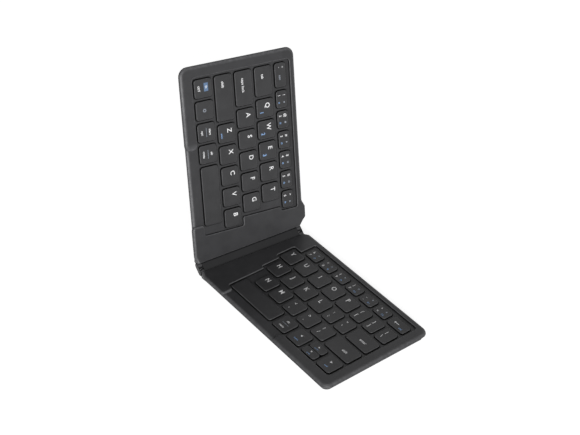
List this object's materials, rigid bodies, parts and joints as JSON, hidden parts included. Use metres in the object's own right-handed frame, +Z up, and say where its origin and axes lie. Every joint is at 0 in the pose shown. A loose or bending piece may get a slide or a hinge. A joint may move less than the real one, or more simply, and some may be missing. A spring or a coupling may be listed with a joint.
{
  "type": "folding keyboard",
  "caption": "Pocket keyboard in two halves that fold face to face on a two-pivot spine, with sprung chiclet keys in sunken decks.",
  "frame": {"origin": "middle of the right half's underside, on the bottom shell; the feet reach 0.6 mm below it", "axes": "+X away from the hinge along the right half, +Y from the front (space) row to the back (number) row along the hinge, +Z up"},
  "size_m": [0.2059, 0.11, 0.1579],
  "materials": {
    "case": "fine matt charcoal plastic",
    "key_cap": "fine matt charcoal plastic",
    "spine": "matt dark plastic",
    "steel": "plain",
    "rubber": "matt",
    "dome_rubber": "matt",
    "board": "green solder mask",
    "battery": "pouch cell in foil"
  },
  "bodies": {
    "right_half": {"right_top_frame": "case", "right_bottom_shell": "case", "right_key_plate": "steel", "right_switch_sheet": "dome_rubber", "battery": "battery", "right_feet": "rubber", "right_screws": "steel", "right_hinge_arms": "steel"},
    "hinge_spine": {"spine": "spine", "hinge_pins": "steel"},
    "left_half": {"left_top_frame": "case", "left_bottom_shell": "case", "left_key_plate": "steel", "left_switch_sheet": "dome_rubber", "main_board": "board", "charging_port": "steel", "left_feet": "rubber", "left_screws": "steel", "left_hinge_arms": "steel"},
    "key_esc": {"key_esc": "key_cap"},
    "keys_numbers_left": {"keys_numbers_left": "key_cap"},
    "key_tab": {"key_tab": "key_cap"},
    "key_q": {"key_q": "key_cap"},
    "key_w": {"key_w": "key_cap"},
    "key_e": {"key_e": "key_cap"},
    "key_r": {"key_r": "key_cap"},
    "key_t": {"key_t": "key_cap"},
    "key_caps_lock": {"key_caps_lock": "key_cap"},
    "key_a": {"key_a": "key_cap"},
    "key_s": {"key_s": "key_cap"},
    "key_d": {"key_d": "key_cap"},
    "key_f": {"key_f": "key_cap"},
    "key_g": {"key_g": "key_cap"},
    "key_left_shift": {"key_left_shift": "key_cap"},
    "key_z": {"key_z": "key_cap"},
    "key_x": {"key_x": "key_cap"},
    "key_c": {"key_c": "key_cap"},
    "key_v": {"key_v": "key_cap"},
    "key_b": {"key_b": "key_cap"},
    "keys_modifiers_left": {"keys_modifiers_left": "key_cap"},
    "key_left_space": {"key_left_space": "key_cap"},
    "keys_numbers_right": {"keys_numbers_right": "key_cap"},
    "key_backspace": {"key_backspace": "key_cap"},
    "key_y": {"key_y": "key_cap"},
    "key_u": {"key_u": "key_cap"},
    "key_i": {"key_i": "key_cap"},
    "key_o": {"key_o": "key_cap"},
    "key_p": {"key_p": "key_cap"},
    "key_h": {"key_h": "key_cap"},
    "key_j": {"key_j": "key_cap"},
    "key_k": {"key_k": "key_cap"},
    "key_l": {"key_l": "key_cap"},
    "key_enter": {"key_enter": "key_cap"},
    "key_n": {"key_n": "key_cap"},
    "key_m": {"key_m": "key_cap"},
    "key_right_shift": {"key_right_shift": "key_cap"},
    "keys_punctuation": {"keys_punctuation": "key_cap"},
    "key_right_space": {"key_right_space": "key_cap"},
    "keys_arrows": {"keys_arrows": "key_cap"}
  },
  "joints": [
    {"name": "right_pivot", "type": "hinge", "parent": "right_half", "child": "hinge_spine", "pos_m": [-0.07385, -0.00692, 0.0034], "axis": [0, 1, 0], "range_deg": [-37, 53]},
    {"name": "left_pivot", "type": "hinge", "parent": "hinge_spine", "child": "left_half", "pos_m": [-0.07825, -0.00692, 0.00671], "axis": [0, 1, 0], "range_deg": [-37, 53]},
    {"name": "key_esc_press", "type": "slide", "parent": "left_half", "child": "key_esc", "axis": [-0.9613, 0, -0.2756], "range_m": [0, 0.0014], "stiffness_N_per_m": 300, "springref_m": -0.0008},
    {"name": "keys_numbers_left_press", "type": "slide", "parent": "left_half", "child": "keys_numbers_left", "axis": [-0.9613, 0, -0.2756], "range_m": [0, 0.0014], "stiffness_N_per_m": 600, "springref_m": -0.0008},
    {"name": "key_tab_press", "type": "slide", "parent": "left_half", "child": "key_tab", "axis": [-0.9613, 0, -0.2756], "range_m": [0, 0.0014], "stiffness_N_per_m": 300, "springref_m": -0.0008},
    {"name": "key_q_press", "type": "slide", "parent": "left_half", "child": "key_q", "axis": [-0.9613, 0, -0.2756], "range_m": [0, 0.0014], "stiffness_N_per_m": 300, "springref_m": -0.0008},
    {"name": "key_w_press", "type": "slide", "parent": "left_half", "child": "key_w", "axis": [-0.9613, 0, -0.2756], "range_m": [0, 0.0014], "stiffness_N_per_m": 300, "springref_m": -0.0008},
    {"name": "key_e_press", "type": "slide", "parent": "left_half", "child": "key_e", "axis": [-0.9613, 0, -0.2756], "range_m": [0, 0.0014], "stiffness_N_per_m": 300, "springref_m": -0.0008},
    {"name": "key_r_press", "type": "slide", "parent": "left_half", "child": "key_r", "axis": [-0.9613, 0, -0.2756], "range_m": [0, 0.0014], "stiffness_N_per_m": 300, "springref_m": -0.0008},
    {"name": "key_t_press", "type": "slide", "parent": "left_half", "child": "key_t", "axis": [-0.9613, 0, -0.2756], "range_m": [0, 0.0014], "stiffness_N_per_m": 300, "springref_m": -0.0008},
    {"name": "key_caps_lock_press", "type": "slide", "parent": "left_half", "child": "key_caps_lock", "axis": [-0.9613, 0, -0.2756], "range_m": [0, 0.0014], "stiffness_N_per_m": 300, "springref_m": -0.0008},
    {"name": "key_a_press", "type": "slide", "parent": "left_half", "child": "key_a", "axis": [-0.9613, 0, -0.2756], "range_m": [0, 0.0014], "stiffness_N_per_m": 300, "springref_m": -0.0008},
    {"name": "key_s_press", "type": "slide", "parent": "left_half", "child": "key_s", "axis": [-0.9613, 0, -0.2756], "range_m": [0, 0.0014], "stiffness_N_per_m": 300, "springref_m": -0.0008},
    {"name": "key_d_press", "type": "slide", "parent": "left_half", "child": "key_d", "axis": [-0.9613, 0, -0.2756], "range_m": [0, 0.0014], "stiffness_N_per_m": 300, "springref_m": -0.0008},
    {"name": "key_f_press", "type": "slide", "parent": "left_half", "child": "key_f", "axis": [-0.9613, 0, -0.2756], "range_m": [0, 0.0014], "stiffness_N_per_m": 300, "springref_m": -0.0008},
    {"name": "key_g_press", "type": "slide", "parent": "left_half", "child": "key_g", "axis": [-0.9613, 0, -0.2756], "range_m": [0, 0.0014], "stiffness_N_per_m": 300, "springref_m": -0.0008},
    {"name": "key_left_shift_press", "type": "slide", "parent": "left_half", "child": "key_left_shift", "axis": [-0.9613, 0, -0.2756], "range_m": [0, 0.0014], "stiffness_N_per_m": 350, "springref_m": -0.0008},
    {"name": "key_z_press", "type": "slide", "parent": "left_half", "child": "key_z", "axis": [-0.9613, 0, -0.2756], "range_m": [0, 0.0014], "stiffness_N_per_m": 300, "springref_m": -0.0008},
    {"name": "key_x_press", "type": "slide", "parent": "left_half", "child": "key_x", "axis": [-0.9613, 0, -0.2756], "range_m": [0, 0.0014], "stiffness_N_per_m": 300, "springref_m": -0.0008},
    {"name": "key_c_press", "type": "slide", "parent": "left_half", "child": "key_c", "axis": [-0.9613, 0, -0.2756], "range_m": [0, 0.0014], "stiffness_N_per_m": 300, "springref_m": -0.0008},
    {"name": "key_v_press", "type": "slide", "parent": "left_half", "child": "key_v", "axis": [-0.9613, 0, -0.2756], "range_m": [0, 0.0014], "stiffness_N_per_m": 300, "springref_m": -0.0008},
    {"name": "key_b_press", "type": "slide", "parent": "left_half", "child": "key_b", "axis": [-0.9613, 0, -0.2756], "range_m": [0, 0.0014], "stiffness_N_per_m": 300, "springref_m": -0.0008},
    {"name": "keys_modifiers_left_press", "type": "slide", "parent": "left_half", "child": "keys_modifiers_left", "axis": [-0.9613, 0, -0.2756], "range_m": [0, 0.0014], "stiffness_N_per_m": 600, "springref_m": -0.0008},
    {"name": "key_left_space_press", "type": "slide", "parent": "left_half", "child": "key_left_space", "axis": [-0.9613, 0, -0.2756], "range_m": [0, 0.0014], "stiffness_N_per_m": 350, "springref_m": -0.0008},
    {"name": "keys_numbers_right_press", "type": "slide", "parent": "right_half", "child": "keys_numbers_right", "axis": [0, 0, -1], "range_m": [0, 0.0014], "stiffness_N_per_m": 600, "springref_m": -0.0008},
    {"name": "key_backspace_press", "type": "slide", "parent": "right_half", "child": "key_backspace", "axis": [0, 0, -1], "range_m": [0, 0.0014], "stiffness_N_per_m": 300, "springref_m": -0.0008},
    {"name": "key_y_press", "type": "slide", "parent": "right_half", "child": "key_y", "axis": [0, 0, -1], "range_m": [0, 0.0014], "stiffness_N_per_m": 300, "springref_m": -0.0008},
    {"name": "key_u_press", "type": "slide", "parent": "right_half", "child": "key_u", "axis": [0, 0, -1], "range_m": [0, 0.0014], "stiffness_N_per_m": 300, "springref_m": -0.0008},
    {"name": "key_i_press", "type": "slide", "parent": "right_half", "child": "key_i", "axis": [0, 0, -1], "range_m": [0, 0.0014], "stiffness_N_per_m": 300, "springref_m": -0.0008},
    {"name": "key_o_press", "type": "slide", "parent": "right_half", "child": "key_o", "axis": [0, 0, -1], "range_m": [0, 0.0014], "stiffness_N_per_m": 300, "springref_m": -0.0008},
    {"name": "key_p_press", "type": "slide", "parent": "right_half", "child": "key_p", "axis": [0, 0, -1], "range_m": [0, 0.0014], "stiffness_N_per_m": 300, "springref_m": -0.0008},
    {"name": "key_h_press", "type": "slide", "parent": "right_half", "child": "key_h", "axis": [0, 0, -1], "range_m": [0, 0.0014], "stiffness_N_per_m": 300, "springref_m": -0.0008},
    {"name": "key_j_press", "type": "slide", "parent": "right_half", "child": "key_j", "axis": [0, 0, -1], "range_m": [0, 0.0014], "stiffness_N_per_m": 300, "springref_m": -0.0008},
    {"name": "key_k_press", "type": "slide", "parent": "right_half", "child": "key_k", "axis": [0, 0, -1], "range_m": [0, 0.0014], "stiffness_N_per_m": 300, "springref_m": -0.0008},
    {"name": "key_l_press", "type": "slide", "parent": "right_half", "child": "key_l", "axis": [0, 0, -1], "range_m": [0, 0.0014], "stiffness_N_per_m": 300, "springref_m": -0.0008},
    {"name": "key_enter_press", "type": "slide", "parent": "right_half", "child": "key_enter", "axis": [0, 0, -1], "range_m": [0, 0.0014], "stiffness_N_per_m": 300, "springref_m": -0.0008},
    {"name": "key_n_press", "type": "slide", "parent": "right_half", "child": "key_n", "axis": [0, 0, -1], "range_m": [0, 0.0014], "stiffness_N_per_m": 300, "springref_m": -0.0008},
    {"name": "key_m_press", "type": "slide", "parent": "right_half", "child": "key_m", "axis": [0, 0, -1], "range_m": [0, 0.0014], "stiffness_N_per_m": 300, "springref_m": -0.0008},
    {"name": "key_right_shift_press", "type": "slide", "parent": "right_half", "child": "key_right_shift", "axis": [0, 0, -1], "range_m": [0, 0.0014], "stiffness_N_per_m": 350, "springref_m": -0.0008},
    {"name": "keys_punctuation_press", "type": "slide", "parent": "right_half", "child": "keys_punctuation", "axis": [0, 0, -1], "range_m": [0, 0.0014], "stiffness_N_per_m": 600, "springref_m": -0.0008},
    {"name": "key_right_space_press", "type": "slide", "parent": "right_half", "child": "key_right_space", "axis": [0, 0, -1], "range_m": [0, 0.0014], "stiffness_N_per_m": 350, "springref_m": -0.0008},
    {"name": "keys_arrows_press", "type": "slide", "parent": "right_half", "child": "keys_arrows", "axis": [0, 0, -1], "range_m": [0, 0.0014], "stiffness_N_per_m": 600, "springref_m": -0.0008}
  ]
}
